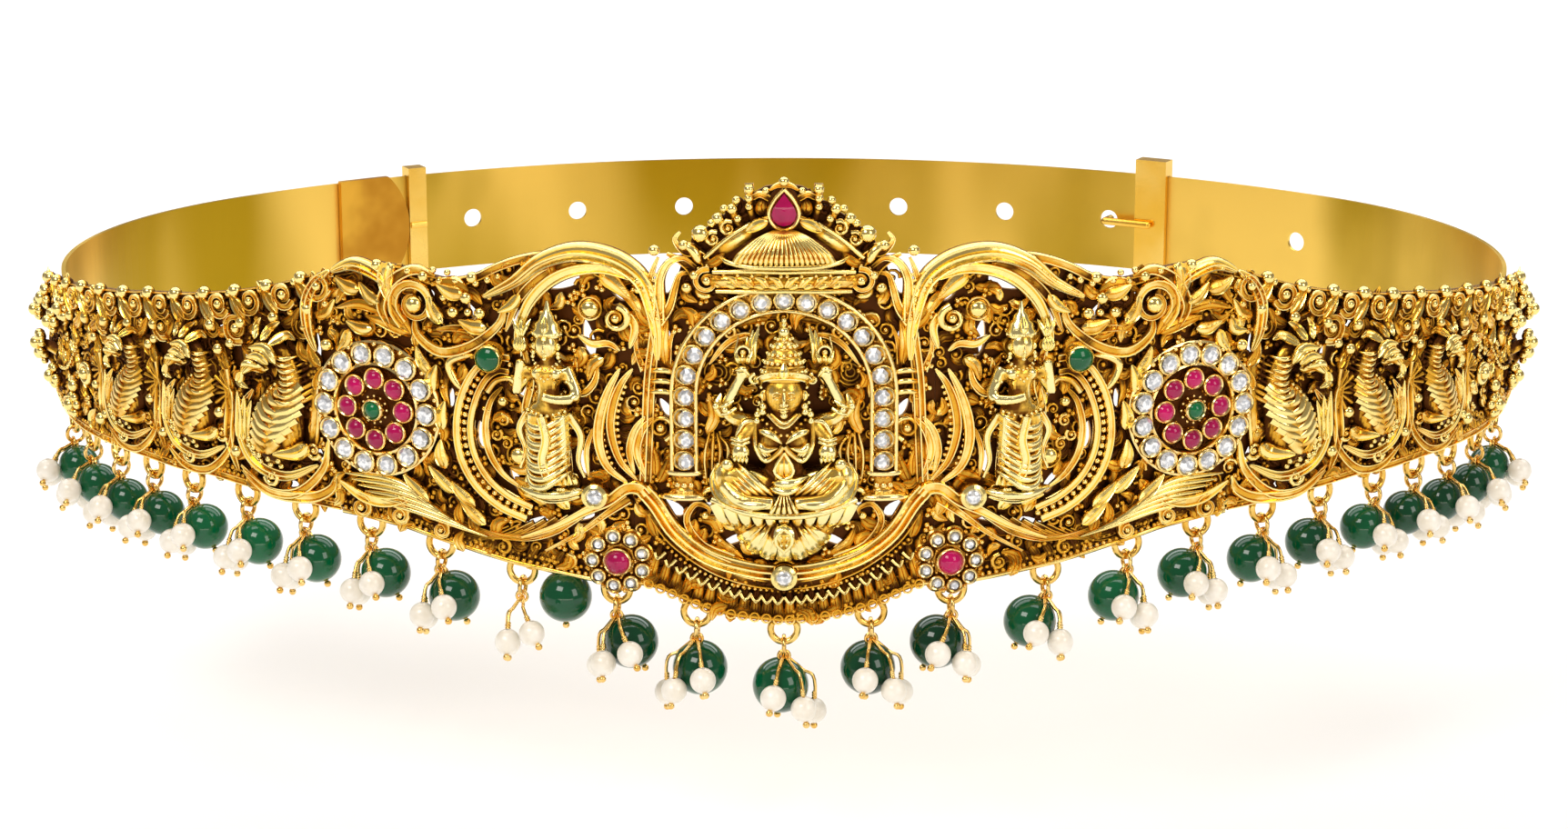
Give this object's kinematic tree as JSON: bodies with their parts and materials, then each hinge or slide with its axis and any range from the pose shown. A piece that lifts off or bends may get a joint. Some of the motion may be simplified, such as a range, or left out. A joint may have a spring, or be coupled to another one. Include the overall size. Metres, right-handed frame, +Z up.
{
  "type": "oddiyanam waist belt",
  "caption": "Waist belt with a pierced cast front of figures, swans and scrolls, set stones, hanging beads and an adjustable plain strap.",
  "frame": {"origin": "middle of the waist opening, at the mid height of the strap", "axes": "+Z up along the wearer's waist, the front with the seated figure faces -Y, +X to the viewer's right"},
  "size_m": [0.2858, 0.2116, 0.0963],
  "materials": {
    "strap_brass": "satin gold-tone sheet with olive stains",
    "clasp_brass": "polished gold-tone",
    "cast_brass": "antique gold-tone casting, dark red-brown in the recesses",
    "setting_brass": "bright gold-tone settings",
    "drop_brass": "bright gold-tone wire",
    "white_stone": "cut white stone with a foil back",
    "ruby_glass": "magenta-red polished cabochon",
    "emerald_glass": "deep green polished cabochon",
    "green_bead": "deep green polished bead",
    "pearl": "cream imitation pearl"
  },
  "bodies": {
    "root": {"strap_left": "strap_brass", "strap_middle": "strap_brass", "strap_right": "strap_brass", "left_tab": "clasp_brass", "left_keeper": "clasp_brass", "buckle": "clasp_brass", "buckle_prong": "clasp_brass", "centre_panel": "cast_brass", "stone_arch": "setting_brass", "seated_figure": "cast_brass", "crest_ruby": "ruby_glass", "arch_stones": "white_stone", "accent_stones": "white_stone", "scroll_panel_left": "cast_brass", "scroll_panel_right": "cast_brass", "swan_panel_left": "cast_brass", "swan_panel_right": "cast_brass", "attendant_left": "cast_brass", "attendant_right": "cast_brass", "medallion_left": "setting_brass", "medallion_right": "setting_brass", "medallion_stones_left": "white_stone", "medallion_stones_right": "white_stone", "medallion_rubies_left": "ruby_glass", "medallion_rubies_right": "ruby_glass", "medallion_heart_left": "emerald_glass", "medallion_heart_right": "emerald_glass", "rosette_left": "setting_brass", "rosette_right": "setting_brass", "rosette_stones_left": "white_stone", "rosette_stones_right": "white_stone", "rosette_ruby_left": "ruby_glass", "rosette_ruby_right": "ruby_glass", "emerald_left": "emerald_glass", "emerald_right": "emerald_glass", "spray_middle": "drop_brass", "sprays_left": "drop_brass", "sprays_right": "drop_brass", "green_bead_middle": "green_bead", "green_beads_left": "green_bead", "green_beads_right": "green_bead", "pearls_middle": "pearl", "pearls_left": "pearl", "pearls_right": "pearl"}
  },
  "joints": []
}
